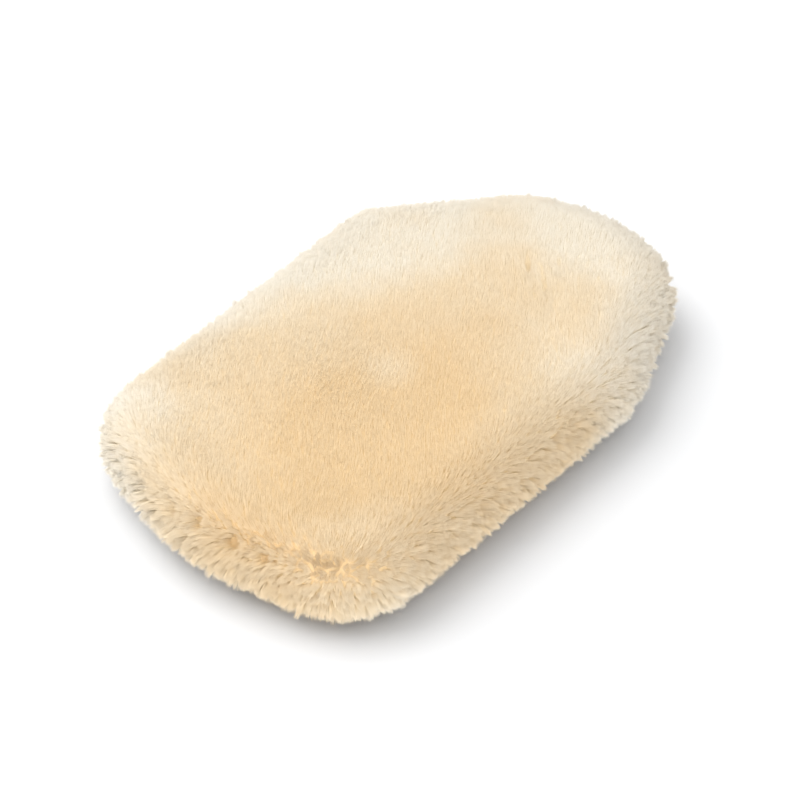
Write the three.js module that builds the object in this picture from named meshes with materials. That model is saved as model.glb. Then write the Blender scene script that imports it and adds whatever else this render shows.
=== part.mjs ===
// A lambskin wash mitt lying flat, palm down. Two skins with their wool outwards are sewn edge to
// edge round the finger end and the sides. A soft lining bag hangs inside them, and a short ribbed
// cuff with an elastic in its fold closes the narrow end, where the hand goes in.
//
// Millimetres, +Z up. The origin is on the ground under the middle of the mitt, +Y points from the
// finger end to the mouth and +X across the width.
import * as THREE from 'three';

// ---------------------------------------------------------------- driving dimensions

const LENGTH = 284; // over the wool
const HEIGHT = 44; // over the wool, lying at rest
const SEAM_Z = 20; // the skins meet in this plane
const AIR = 0.3; // between pieces that touch
const HALF_AIR = AIR / 2;

const SKIN_THICK = 1.4;
const POCKET_RISE = 6.2; // from the seam plane to the inside of a skin
const SKIN_RISE = POCKET_RISE + SKIN_THICK;
const SKIN_BEND = 15; // width of the rounded edge where a skin comes down to the seam

const LINING_THICK = 0.9;
const LINING_RISE = POCKET_RISE - AIR;
const LINING_BEND = 12;
const LINING_INSET = 3.6; // from the edge of the skins to the edge of the lining
const LINING_END_Y = 94;

const WOOL_BEND_UP = 25; // width of the rounded shoulder of the wool, above the seam
const WOOL_BEND_DOWN = 17; // and below it, where the wool is pressed flat
const FRINGE_RISE = 7.4; // from the seam plane to the wool that overhangs the mouth

const KNIT_THICK = 0.9;
const CUFF_X = 8.5; // the middle of the mouth
const CUFF_HALF_WIDTH = 32;
const CUFF_RISE = POCKET_RISE - AIR;
const CUFF_START_Y = LINING_END_Y + 0.6;
const CUFF_END_Y = 132;
const ELASTIC_THICK = 0.8;
const ELASTIC_WIDTH = 9;
const CUFF_THICK = 2 * KNIT_THICK + ELASTIC_THICK + 2 * AIR;

const THREAD = 0.5;
const SKIN_SEAM = { inset: 2.1, width: 0.9, height: 1.6, endY: 112 };
const LINING_SEAM = { inset: 5.2, width: 0.8, height: 1.2, endY: 86 };
const LABEL = { width: 30, length: 20, thick: 0.4, x: 6, y: 72 };

const ARC_STEPS = 4; // segments of a rounded corner, and of a rounded edge
const EDGE_STEPS = 2; // segments of a straight stretch between corners

// The corners of each outline, anticlockwise from the middle of the finger end. The mitt lies a
// little askew: its left shoulder is pulled out further up the side than the right one.
const TIP = LENGTH / 2 + 2.8; // where the two halves of an end would meet without their bow
const BOW = 105;
const WOOL_OUTLINE = [
  { x: 6.4, y: -TIP, r: BOW },
  { x: 90.9, y: -127, r: 42 },
  { x: 89.2, y: 54.5, r: 29 },
  { x: 57.8, y: 132, r: 48 },
  { x: 9.4, y: TIP + 0.6, r: BOW },
  { x: -39, y: 132, r: 48 },
  { x: -90.9, y: 65, r: 8 },
  { x: -77.6, y: -127, r: 42 },
];
const FINGER_CORNERS = [
  { x: 6.4, y: -129, r: BOW },
  { x: 75.4, y: -110, r: 28 },
  { x: 73.5, y: 49, r: 14 },
];
const LEFT_CORNERS = [
  { x: -76, y: 57, r: 5 },
  { x: -62.6, y: -110, r: 28 },
];
const SKIN_OUTLINE = [
  ...FINGER_CORNERS,
  { x: 51.4, y: 120, r: 7 },
  { x: 9.4, y: 123, r: BOW },
  { x: -32.6, y: 120, r: 7 },
  ...LEFT_CORNERS,
];
const LINING_OUTLINE = [
  ...FINGER_CORNERS,
  { x: 56.7, y: LINING_END_Y + LINING_INSET, r: 5 },
  { x: 5.2, y: LINING_END_Y + LINING_INSET, r: BOW },
  { x: -46.3, y: LINING_END_Y + LINING_INSET, r: 5 },
  ...LEFT_CORNERS,
];

// ---------------------------------------------------------------- outlines

// The corner of a convex polygon after both of its sides have moved inwards.
function movedCorner(before, corner, after, inset) {
  const a = new THREE.Vector2(corner.x - before.x, corner.y - before.y).normalize();
  const b = new THREE.Vector2(after.x - corner.x, after.y - corner.y).normalize();
  const inwards = new THREE.Vector2(-a.y - b.y, a.x + b.x).normalize();
  const reach = inset / (inwards.x * -a.y + inwards.y * a.x);
  return new THREE.Vector2(corner.x, corner.y).addScaledVector(inwards, reach);
}

// A rounded outline as points, moved inwards by inset. Every outline of eight corners gives the
// same number of points in the same order, so that two of them can be joined point to point.
function outline(corners, inset = 0) {
  const count = corners.length;
  const at = (list, i) => list[(i + count) % count];
  const moved = corners.map((c, i) => movedCorner(at(corners, i - 1), c, at(corners, i + 1), inset));
  const arcs = moved.map((corner, i) => {
    const back = at(moved, i - 1).clone().sub(corner);
    const on = at(moved, i + 1).clone().sub(corner);
    const halfAngle = Math.acos(back.dot(on) / (back.length() * on.length())) / 2;
    const wanted = Math.max(corners[i].r - inset, 1.5) / Math.tan(halfAngle);
    const run = Math.min(wanted, 0.45 * back.length(), 0.45 * on.length());
    const start = corner.clone().addScaledVector(back.normalize(), run);
    const end = corner.clone().addScaledVector(on.normalize(), run);
    return arcBetween(start, corner, end, halfAngle, run);
  });
  return arcs.flatMap((arc, i) => [...arc, ...between(arc.at(-1), at(arcs, i + 1)[0])]);
}

// Points of the round arc that touches both sides of a corner at start and end.
function arcBetween(start, corner, end, halfAngle, run) {
  const towards = start.clone().add(end).multiplyScalar(0.5).sub(corner).normalize();
  const centre = corner.clone().addScaledVector(towards, run / Math.cos(halfAngle));
  const from = start.clone().sub(centre);
  const turn = Math.PI - 2 * halfAngle;
  return Array.from({ length: ARC_STEPS + 1 }, (_, i) =>
    from.clone().rotateAround(new THREE.Vector2(), (turn * i) / ARC_STEPS).add(centre));
}

// The points inside a straight stretch.
function between(start, end) {
  return Array.from({ length: EDGE_STEPS - 1 }, (_, i) =>
    start.clone().lerp(end, (i + 1) / EDGE_STEPS));
}

// How far each point of an outline is held open: 0 along the seam and 1 across the mouth, with a
// round corner of the given width between the two.
function openness(corners, width) {
  const right = corners[3];
  const left = corners[5];
  return outline(corners).map((p) => {
    const inside = THREE.MathUtils.clamp(Math.min(right.x - p.x, p.x - left.x) / width, 0, 1);
    return p.y > right.y - 1 ? Math.sqrt(1 - (1 - inside) ** 2) : 0;
  });
}

// ---------------------------------------------------------------- solids

// A closed solid through rings of points that lie on each other, with a flat cap on the first ring
// and on the last. With closed set it joins the last ring to the first instead. Side is 1 where the
// first cap faces up and -1 where it faces down.
function loft(rings, { side = 1, closed = false } = {}) {
  const count = rings[0].length;
  const positions = rings.flatMap((ring) => ring.flatMap((p) => p.toArray()));
  const faces = [];
  const joined = closed ? rings.length : rings.length - 1;
  for (let r = 0; r < joined; r += 1) {
    const upper = r * count;
    const lower = ((r + 1) % rings.length) * count;
    for (let i = 0; i < count; i += 1) {
      const j = (i + 1) % count;
      faces.push([upper + i, lower + i, lower + j], [upper + i, lower + j, upper + j]);
    }
  }
  if (!closed) {
    const last = (rings.length - 1) * count;
    const cap = (ring) => THREE.ShapeUtils.triangulateShape(ring.map((p) => new THREE.Vector2(p.x, p.y)), []);
    cap(rings[0]).forEach((face) => faces.push(face));
    cap(rings.at(-1)).forEach(([a, b, c]) => faces.push([last + a, last + c, last + b]));
  }
  const geometry = new THREE.BufferGeometry();
  geometry.setAttribute('position', new THREE.Float32BufferAttribute(positions, 3));
  geometry.setIndex(faces.flatMap(([a, b, c]) => (side > 0 ? [a, b, c] : [a, c, b])));
  geometry.computeVertexNormals();
  return geometry;
}

// A ring at a height above (side 1) or below (side -1) the seam plane. Rise may differ from point
// to point.
function ringAt(points, side, rise) {
  return points.map((p, i) => new THREE.Vector3(p.x, p.y, SEAM_Z + side * rise(i)));
}

// The angles of a quarter turn, from the flat middle (90 degrees) down to the edge (0).
const QUARTER = Array.from({ length: ARC_STEPS + 1 }, (_, i) => (Math.PI / 2) * (1 - i / ARC_STEPS));

// Rings of a rounded edge. It comes down from rise to the seam over the width bend, except where
// it is held open.
function edgeRings(corners, { side, start, bend, rise, open, wall = 0 }) {
  return QUARTER.map((angle) => {
    const inset = start + bend * (1 - Math.cos(angle));
    const points = outline(corners, inset);
    const nearEdge = wall > 0 ? outline(corners, inset - wall * Math.cos(angle)) : points;
    const placed = points.map((p, i) => p.clone().lerp(nearEdge[i], open[i]));
    const height = (i) => HALF_AIR + (rise - HALF_AIR) * (open[i] + (1 - open[i]) * Math.sin(angle));
    return ringAt(placed, side, height);
  });
}

// A thin shell that follows the rounded pocket: a skin or a lining panel.
function shell(corners, side, { start, bend, rise, thick, mouthBend }) {
  const open = openness(corners, mouthBend);
  const outer = edgeRings(corners, { side, start, bend, rise, open });
  const inner = edgeRings(corners, {
    side, start: start + thick, bend: bend - thick, rise: rise - thick, open, wall: thick,
  });
  return loft([...outer, ...inner.reverse()], { side });
}

function skin(side) {
  return shell(SKIN_OUTLINE, side, {
    start: 0, bend: SKIN_BEND, rise: SKIN_RISE, thick: SKIN_THICK, mouthBend: 9,
  });
}

function lining(side) {
  return shell(LINING_OUTLINE, side, {
    start: LINING_INSET, bend: LINING_BEND, rise: LINING_RISE, thick: LINING_THICK, mouthBend: 14,
  });
}

// The wool of one skin: a rounded bank outside, and inside it a bed for the skin.
function fleece(side, height, bend) {
  const open = openness(SKIN_OUTLINE, 9);
  const base = (i) => HALF_AIR + (FRINGE_RISE - HALF_AIR) * open[i];
  const bank = QUARTER.map((angle) => {
    const points = outline(WOOL_OUTLINE, bend * (1 - Math.cos(angle)));
    return ringAt(points, side, (i) => base(i) + (height - base(i)) * Math.sin(angle));
  });
  const underside = ringAt(outline(SKIN_OUTLINE, -AIR), side, base);
  const bed = edgeRings(SKIN_OUTLINE, {
    side, start: -AIR, bend: SKIN_BEND, rise: SKIN_RISE + AIR, open,
  }).reverse();
  // The bed's first ring lies on the underside along the seam, and stands above it at the mouth.
  const lowest = bed[0].map((p, i) => (open[i] > 0 ? p : underside[i].clone().lerp(bed[1][i], 0.12)));
  return loft([...bank, underside, lowest, ...bed.slice(1)], { side });
}

// The part of an outline below endY, from the left of the mouth round the finger end to its right.
function belowMouth(points, endY) {
  const top = points.findIndex((p) => p.y > endY);
  const ring = [...points.slice(top), ...points.slice(0, top + 1)];
  const first = ring.findIndex((p) => p.y < endY);
  const last = ring.findLastIndex((p) => p.y < endY);
  const crossing = (a, b) => a.clone().lerp(b, (endY - a.y) / (b.y - a.y));
  return [
    crossing(ring[first - 1], ring[first]),
    ...ring.slice(first, last + 1),
    crossing(ring[last], ring[last + 1]),
  ];
}

// A row of stitches as a flat strip in the seam plane, inset from an outline and stopping at endY.
function seamRow(corners, { inset, width, height, endY }) {
  const outer = belowMouth(outline(corners, inset), endY);
  const inner = belowMouth(outline(corners, inset + width), endY);
  const strip = new THREE.Shape([...outer, ...inner.reverse()]);
  return new THREE.ExtrudeGeometry(strip, { depth: height, bevelEnabled: false })
    .translate(0, 0, SEAM_Z - height / 2);
}

// A flattened round ring in an upright plane across the mitt, inset from the cuff's outside.
function oval(y, inset) {
  const rise = CUFF_RISE - inset;
  const corner = rise;
  const straight = CUFF_HALF_WIDTH - CUFF_RISE;
  const ends = [1, -1].flatMap((end) => Array.from({ length: 2 * ARC_STEPS + 1 }, (_, i) => {
    const angle = Math.PI * (i / (2 * ARC_STEPS) - 0.5) + (end > 0 ? 0 : Math.PI);
    return [end * straight + corner * Math.cos(angle), rise * Math.sin(angle)];
  }));
  return ends.map(([x, z]) => new THREE.Vector3(CUFF_X + x, y, SEAM_Z + z));
}

// A band round the mouth with a closed profile of [y, inset] pairs.
function band(profile) {
  return loft(profile.map(([y, inset]) => oval(y, inset)), { closed: true });
}

function cuffKnit() {
  const fold = CUFF_END_Y - KNIT_THICK;
  const inside = CUFF_THICK - KNIT_THICK;
  return band([
    [CUFF_START_Y, 0], [CUFF_END_Y - 1.5, 0], [CUFF_END_Y, 1],
    [CUFF_END_Y, CUFF_THICK - 1], [CUFF_END_Y - 1.5, CUFF_THICK], [CUFF_START_Y, CUFF_THICK],
    [CUFF_START_Y, inside], [fold, inside], [fold, KNIT_THICK], [CUFF_START_Y, KNIT_THICK],
  ]);
}

function squareBand(start, length, inset, thick) {
  return band([
    [start, inset], [start + length, inset], [start + length, inset + thick], [start, inset + thick],
  ]);
}

function cuffElastic() {
  const end = CUFF_END_Y - KNIT_THICK - AIR;
  return squareBand(end - ELASTIC_WIDTH, ELASTIC_WIDTH, KNIT_THICK + AIR, ELASTIC_THICK);
}

// The row that closes the elastic's channel, on the outside of the cuff.
function channelStitches() {
  return squareBand(CUFF_END_Y - KNIT_THICK - ELASTIC_WIDTH + 3, THREAD, -AIR - THREAD, THREAD);
}

// The row that holds the cuff to the lining, inside the pocket.
function cuffStitches() {
  return squareBand(LINING_END_Y - 2.5, THREAD, LINING_THICK + AIR, THREAD);
}

const LABEL_Z = SEAM_Z - LINING_RISE + LINING_THICK + AIR; // its underside, on the lower lining

function careLabel() {
  return new THREE.BoxGeometry(LABEL.width, LABEL.length, LABEL.thick)
    .translate(LABEL.x, LABEL.y, LABEL_Z + LABEL.thick / 2);
}

// The stitches round the label, 2 mm in from its edge.
function labelStitches() {
  const rectangle = (width, length) => [[-1, -1], [1, -1], [1, 1], [-1, 1]]
    .map(([x, y]) => new THREE.Vector2((x * width) / 2, (y * length) / 2));
  const frame = new THREE.Shape(rectangle(LABEL.width - 4, LABEL.length - 4));
  frame.holes.push(new THREE.Path(rectangle(LABEL.width - 4 - 2 * THREAD, LABEL.length - 4 - 2 * THREAD)));
  return new THREE.ExtrudeGeometry(frame, { depth: THREAD, bevelEnabled: false })
    .translate(LABEL.x, LABEL.y, LABEL_Z + LABEL.thick + AIR);
}

// ---------------------------------------------------------------- materials and assembly

const WOOL = new THREE.MeshStandardMaterial({ color: 0xf3dcb4, roughness: 1.0, metalness: 0 });
const SUEDE = new THREE.MeshStandardMaterial({ color: 0xdcc59a, roughness: 0.95, metalness: 0 });
const LINING = new THREE.MeshStandardMaterial({ color: 0xe9e2d2, roughness: 0.9, metalness: 0 });
const RIB_KNIT = new THREE.MeshStandardMaterial({ color: 0xe6d3ae, roughness: 0.95, metalness: 0 });
const ELASTIC = new THREE.MeshStandardMaterial({ color: 0xf0ede6, roughness: 0.8, metalness: 0 });
const SEWING = new THREE.MeshStandardMaterial({ color: 0xe4c98e, roughness: 0.7, metalness: 0 });
const SATIN = new THREE.MeshStandardMaterial({ color: 0xf7f6f2, roughness: 0.5, metalness: 0 });

const mitt = new THREE.Group();

function add(name, geometry, material) {
  const mesh = new THREE.Mesh(geometry, material);
  mesh.name = name;
  mitt.add(mesh);
}

add('upper_fleece', fleece(1, HEIGHT - SEAM_Z, WOOL_BEND_UP), WOOL);
add('lower_fleece', fleece(-1, SEAM_Z, WOOL_BEND_DOWN), WOOL);
add('upper_skin', skin(1), SUEDE);
add('lower_skin', skin(-1), SUEDE);
add('skin_seam_thread', seamRow(SKIN_OUTLINE, SKIN_SEAM), SEWING);
add('upper_lining', lining(1), LINING);
add('lower_lining', lining(-1), LINING);
add('lining_seam_thread', seamRow(LINING_OUTLINE, LINING_SEAM), SEWING);
add('cuff_knit', cuffKnit(), RIB_KNIT);
add('cuff_elastic', cuffElastic(), ELASTIC);
add('cuff_channel_stitches', channelStitches(), SEWING);
add('cuff_lining_stitches', cuffStitches(), SEWING);
add('care_label', careLabel(), SATIN);
add('care_label_stitches', labelStitches(), SEWING);

export default mitt;
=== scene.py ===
"""A lambskin wash mitt lying flat, dressed round its CAD frame. Metres, Z up.

The two skins carry their wool outwards and are sewn edge to edge. The wool of each skin is a dense
undercoat with locks of fine strands standing on it. Inside hang a soft lining and a short ribbed
cuff. Lengths that are easier to read in millimetres are multiplied by MM.
"""

import logging
import math
from dataclasses import dataclass, field, replace
from enum import Enum

import bmesh
import bpy
import numpy as np
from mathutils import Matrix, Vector, kdtree


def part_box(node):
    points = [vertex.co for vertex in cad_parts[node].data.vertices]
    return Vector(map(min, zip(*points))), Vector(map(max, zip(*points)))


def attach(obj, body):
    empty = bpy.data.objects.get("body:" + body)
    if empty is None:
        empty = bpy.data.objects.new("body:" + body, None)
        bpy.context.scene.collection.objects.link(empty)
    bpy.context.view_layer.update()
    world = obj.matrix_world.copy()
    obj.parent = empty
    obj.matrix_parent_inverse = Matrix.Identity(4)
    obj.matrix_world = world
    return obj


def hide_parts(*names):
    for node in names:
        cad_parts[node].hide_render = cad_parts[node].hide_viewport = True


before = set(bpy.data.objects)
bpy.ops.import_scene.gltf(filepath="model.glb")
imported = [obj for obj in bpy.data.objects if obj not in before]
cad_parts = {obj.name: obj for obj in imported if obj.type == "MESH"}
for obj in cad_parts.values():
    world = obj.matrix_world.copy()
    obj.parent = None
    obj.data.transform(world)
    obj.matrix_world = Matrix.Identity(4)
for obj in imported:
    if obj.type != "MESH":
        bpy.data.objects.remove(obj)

MM = 0.001
LOG = logging.getLogger("wash_mitt")
ROOT = "root"
Triple = tuple[float, float, float]


# ------------------------------------------------------------------ shapes in plan


class Side(Enum):
    """Which skin a piece belongs to. The value is the direction from the seam plane."""

    UPPER = 1
    LOWER = -1


@dataclass(frozen=True)
class Corner:
    """A corner of a half outline and the radius it is rounded to, in metres."""

    x: float
    y: float
    radius: float


@dataclass(frozen=True)
class Outline:
    """A closed outline from its corners, anticlockwise from the middle of the finger end.

    The mouth lies between its fourth corner, on the right, and its sixth, on the left.
    """

    corners: tuple[Corner, ...]
    arc_steps: int = 8
    run_steps: int = 14
    least_radius: float = 1.5 * MM

    @staticmethod
    def of(*corners: Triple) -> "Outline":
        """Return the outline with these corners, each an x, a y and a radius in millimetres."""
        return Outline(tuple(Corner(x * MM, y * MM, radius * MM) for x, y, radius in corners))

    def ring(self, inset: float = 0.0) -> np.ndarray:
        """Return the rounded outline moved inwards.

        Args:
            inset: How far to move it, in metres.

        Returns:
            Points of shape (n, 2). Every outline and inset gives the same n, in the same order.
        """
        corners = self.corners
        count = len(corners)
        points = [np.array([c.x, c.y]) for c in corners]
        moved = [
            moved_corner(points[i - 1], points[i], points[(i + 1) % count], inset)
            for i in range(count)
        ]
        arcs = []
        for i, corner in enumerate(corners):
            radius = max(corner.radius - inset, self.least_radius)
            arcs.append(round_off(moved[i - 1], moved[i], moved[(i + 1) % count], radius, self.arc_steps))
        steps = self.run_steps
        ring = []
        for i, arc in enumerate(arcs):
            run = arcs[(i + 1) % count][0] - arc[-1]
            ring += [*arc, *(arc[-1] + run * k / steps for k in range(1, steps))]
        return np.array(ring)

    def openness(self, width: float) -> np.ndarray:
        """Return how far each point is held open: 0 along the seam and 1 across the mouth.

        Args:
            width: Length of the round corner between the two, in metres.
        """
        right, left = self.corners[3], self.corners[5]
        x, y = self.ring().T
        inside = np.clip(np.minimum(right.x - x, x - left.x) / width, 0, 1)
        return np.where(y > right.y - 1 * MM, np.sqrt(1 - (1 - inside) ** 2), 0.0)


def unit(v: np.ndarray) -> np.ndarray:
    """Return the vectors of the last axis at length 1."""
    return v / np.maximum(np.linalg.norm(v, axis=-1, keepdims=True), 1e-12)


def moved_corner(before: np.ndarray, at: np.ndarray, after: np.ndarray, inset: float) -> np.ndarray:
    """Return a convex corner after both of its sides have moved inwards by inset."""
    a = unit(at - before)
    b = unit(after - at)
    inwards = unit(np.array([-a[1] - b[1], a[0] + b[0]]))
    return at + inwards * inset / (inwards @ np.array([-a[1], a[0]]))


SIDE_SHARE = 0.45  # how much of a side the arc at one end of it may take


def round_off(
    before: np.ndarray, at: np.ndarray, after: np.ndarray, radius: float, steps: int
) -> list[np.ndarray]:
    """Return the points of the arc that rounds a corner, no longer than its sides allow."""
    back = before - at
    on = after - at
    longest = SIDE_SHARE * min(np.linalg.norm(back), np.linalg.norm(on))
    half = math.acos(float(unit(back) @ unit(on))) / 2
    run = min(radius / math.tan(half), longest)
    start = at + unit(back) * run
    end = at + unit(on) * run
    centre = at + unit((start + end) / 2 - at) * run / math.cos(half)
    turn = math.pi - 2 * half
    arm = start - centre
    return [centre + rotated(arm, turn * k / steps) for k in range(steps + 1)]


def rotated(v: np.ndarray, angle: float) -> np.ndarray:
    """Return a plan vector turned anticlockwise."""
    c, s = math.cos(angle), math.sin(angle)
    return np.array([c * v[0] - s * v[1], s * v[0] + c * v[1]])


class Ripple:
    """A smooth, repeatable unevenness: a sum of sine waves in random directions."""

    def __init__(self, seed: int, wavelength: float, waves: int = 14) -> None:
        """Draw the waves.

        Args:
            seed: Starts the random draws.
            wavelength: The middle wavelength, in metres.
            waves: How many waves to add.
        """
        draw = np.random.default_rng(seed)
        directions = unit(draw.normal(size=(waves, 3)))
        lengths = wavelength * draw.uniform(0.7, 1.5, waves)
        self.waves = directions * (2 * math.pi / lengths)[:, None]
        self.phases = draw.uniform(0, 2 * math.pi, waves)
        self.crest = 1.4 * math.sqrt(waves)

    def at(self, points: np.ndarray) -> np.ndarray:
        """Return the unevenness at points of shape (n, 3), about -1 to 1."""
        return np.sin(points @ self.waves.T + self.phases).sum(-1) / self.crest

    def slope(self, points: np.ndarray) -> np.ndarray:
        """Return how fast the unevenness changes at points, per metre along each axis."""
        return np.cos(points @ self.waves.T + self.phases) @ self.waves / self.crest


# ------------------------------------------------------------------ mesh tools


def deselect_all() -> None:
    """Leave edit mode and select nothing."""
    if bpy.context.mode != "OBJECT":
        bpy.ops.object.mode_set(mode="OBJECT")
    bpy.ops.object.select_all(action="DESELECT")


def named_active(name: str) -> bpy.types.Object:
    """Name the active object and its mesh, and return the object."""
    piece = bpy.context.active_object
    piece.name = name
    piece.data.name = name
    return piece


def loft(name: str, rings: np.ndarray, closed: bool = False, caps: bool = False) -> bpy.types.Object:
    """Extrude a circle ring by ring and set each ring of vertices in its place.

    Args:
        name: Name of the new piece.
        rings: Points of shape (rings, n, 3).
        closed: Join the last ring to the first.
        caps: Fill the first and the last ring.

    Returns:
        The new object, with its faces pointing outwards where it is closed.
    """
    deselect_all()
    bpy.ops.mesh.primitive_circle_add(vertices=rings.shape[1], radius=0.1)
    piece = named_active(name)
    bpy.ops.object.mode_set(mode="EDIT")
    bpy.ops.mesh.select_mode(type="EDGE")
    bpy.ops.mesh.select_all(action="SELECT")
    for _ in range(rings.shape[0] - 1):
        bpy.ops.mesh.extrude_edges_move()
    bpy.ops.object.mode_set(mode="OBJECT")
    place_rings(piece.data, rings)
    bpy.ops.object.mode_set(mode="EDIT")
    if closed:
        bpy.ops.mesh.select_all(action="DESELECT")
        bpy.ops.mesh.select_non_manifold()
        bpy.ops.mesh.bridge_edge_loops()
    if caps:
        bpy.ops.mesh.select_all(action="DESELECT")
        bpy.ops.mesh.select_non_manifold()
        bpy.ops.mesh.fill_holes(sides=0)
    if closed or caps:
        bpy.ops.mesh.select_all(action="SELECT")
        bpy.ops.mesh.normals_make_consistent(inside=False)
    bpy.ops.object.mode_set(mode="OBJECT")
    bpy.ops.object.shade_smooth()
    return piece


def place_rings(mesh: bpy.types.Mesh, rings: np.ndarray) -> None:
    """Set the vertices of an extruded circle on the rings, following its edges outwards."""
    count = rings.shape[1]
    bm = bmesh.new()
    bm.from_mesh(mesh)
    bm.verts.ensure_lookup_table()
    current = [bm.verts[i] for i in range(count)]
    first = set(current)
    seen = set(current)
    for level, ring in enumerate(rings):
        for vert, point in zip(current, ring):
            vert.co = point
        if level == len(rings) - 1:
            break
        following = []
        for vert in current:
            others = [e.other_vert(vert) for e in vert.link_edges]
            following.append(next(o for o in others if o not in seen and o not in first))
        current = following
        seen.update(current)
    bm.to_mesh(mesh)
    bm.free()
    mesh.update()


@dataclass(frozen=True)
class Solid:
    """A small closed shape to make many copies of."""

    verts: np.ndarray
    faces: np.ndarray

    @staticmethod
    def from_active() -> "Solid":
        """Take the active object's shape as triangles, and remove the object."""
        if bpy.context.mode != "EDIT_MESH":
            bpy.ops.object.mode_set(mode="EDIT")
        bpy.ops.mesh.select_all(action="SELECT")
        bpy.ops.mesh.quads_convert_to_tris()
        bpy.ops.mesh.normals_make_consistent(inside=False)
        bpy.ops.object.mode_set(mode="OBJECT")
        piece = bpy.context.active_object
        mesh = piece.data
        solid = Solid(
            np.array([v.co[:] for v in mesh.vertices]), np.array([f.vertices[:] for f in mesh.polygons])
        )
        bpy.data.objects.remove(piece)
        bpy.data.meshes.remove(mesh)
        return solid

    def copies(self, name: str, places: np.ndarray) -> bpy.types.Object:
        """Return one piece made of copies of the shape.

        Args:
            name: Name of the new piece.
            places: Shape (n, 4, 3): where the X, Y and Z axes and the origin of each copy go.
        """
        count = len(places)
        points = np.einsum("va,nac->nvc", self.verts, places[:, :3]) + places[:, 3][:, None]
        corners = self.faces[None] + len(self.verts) * np.arange(count)[:, None, None]
        triangles = corners.size // 3
        mesh = bpy.data.meshes.new(name)
        mesh.vertices.add(count * len(self.verts))
        mesh.vertices.foreach_set("co", points.ravel())
        mesh.loops.add(corners.size)
        mesh.loops.foreach_set("vertex_index", corners.ravel())
        mesh.polygons.add(triangles)
        mesh.polygons.foreach_set("loop_start", np.arange(0, corners.size, 3))
        mesh.polygons.foreach_set("loop_total", np.full(triangles, 3))
        mesh.polygons.foreach_set("use_smooth", np.ones(triangles, bool))
        mesh.update(calc_edges=True)
        piece = bpy.data.objects.new(name, mesh)
        bpy.context.scene.collection.objects.link(piece)
        return piece


def apply_modifier(piece: bpy.types.Object, kind: str, **settings: object) -> None:
    """Add a modifier to a piece, set it up and apply it."""
    deselect_all()
    piece.select_set(True)
    bpy.context.view_layer.objects.active = piece
    modifier = piece.modifiers.new(kind.title(), kind)
    for name, value in settings.items():
        setattr(modifier, name, value)
    bpy.ops.object.modifier_apply(modifier=modifier.name)


def finished(piece: bpy.types.Object, material: bpy.types.Material, slot: str, *nodes: str) -> None:
    """Dress a piece, let it ride on the frame, and hide the CAD nodes it stands for."""
    piece.data.materials.clear()
    piece.data.materials.append(material)
    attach(piece, ROOT)
    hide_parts(*nodes)
    LOG.info("%s: %d faces", piece.name, len(piece.data.polygons))


# ------------------------------------------------------------------ finishes


def feed(tree: bpy.types.NodeTree, socket: bpy.types.NodeSocket, value: object) -> None:
    """Give an input its value: another socket is linked, and a colour is made opaque."""
    if isinstance(value, bpy.types.NodeSocket):
        tree.links.new(value, socket)
    else:
        socket.default_value = (*value, 1) if socket.type == "RGBA" else value


def feed_all(tree: bpy.types.NodeTree, made: bpy.types.Node, **inputs: object) -> None:
    """Give a shader node its inputs by name, with an underscore for each space."""
    for name, value in inputs.items():
        feed(tree, made.inputs[name.replace("_", " ")], value)


def node(tree: bpy.types.NodeTree, kind: str, **inputs: object) -> bpy.types.Node:
    """Add a shader node and give it its inputs by name."""
    made = tree.nodes.new(kind)
    feed_all(tree, made, **inputs)
    return made


def reckoned(tree: bpy.types.NodeTree, operation: str, *values: object) -> bpy.types.NodeSocket:
    """Return the result of an arithmetic operation on values, each a socket or a number."""
    made = tree.nodes.new("ShaderNodeMath")
    made.operation = operation
    for socket, value in zip(made.inputs, values):
        feed(tree, socket, value)
    return made.outputs["Value"]


def new_material(name: str) -> tuple[bpy.types.Material, bpy.types.NodeTree, bpy.types.Node]:
    """Return a material, its node tree and its main shader."""
    material = bpy.data.materials.new(name)
    material.use_nodes = True
    tree = material.node_tree
    return material, tree, tree.nodes["Principled BSDF"]


def ramp(tree: bpy.types.NodeTree, factor: bpy.types.NodeSocket, *stops: tuple) -> bpy.types.NodeSocket:
    """Return a colour ramp's output for stops of (position, red, green, blue)."""
    made = node(tree, "ShaderNodeValToRGB", Fac=factor)
    elements = made.color_ramp.elements
    for _ in range(len(stops) - len(elements)):
        elements.new(0.5)
    for element, (position, *colour) in zip(elements, stops):
        element.position = position
        element.color = (*colour, 1)
    return made.outputs["Color"]


def mixed(
    tree: bpy.types.NodeTree, factor: object, a: object, b: object, blend: str = "MIX"
) -> bpy.types.NodeSocket:
    """Return a mix of two colours, each a socket or a value."""
    made = tree.nodes.new("ShaderNodeMix")
    made.data_type = "RGBA"
    made.blend_type = blend
    colours = [s for s in made.inputs if s.type == "RGBA"]
    for socket, value in zip((made.inputs["Factor"], *colours), (factor, a, b)):
        feed(tree, socket, value)
    return next(s for s in made.outputs if s.type == "RGBA")


def own_place(tree: bpy.types.NodeTree) -> bpy.types.NodeSocket:
    """Return the object's own coordinates."""
    return tree.nodes.new("ShaderNodeTexCoord").outputs["Object"]


def noise(tree: bpy.types.NodeTree, scale: float, detail: float = 2.0) -> bpy.types.NodeSocket:
    """Return noise on the object's own coordinates. Scale is in waves per metre."""
    made = node(tree, "ShaderNodeTexNoise", Vector=own_place(tree), Scale=scale, Detail=detail)
    return made.outputs["Fac"]


WHITE: Triple = (1.0, 1.0, 1.0)


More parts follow.
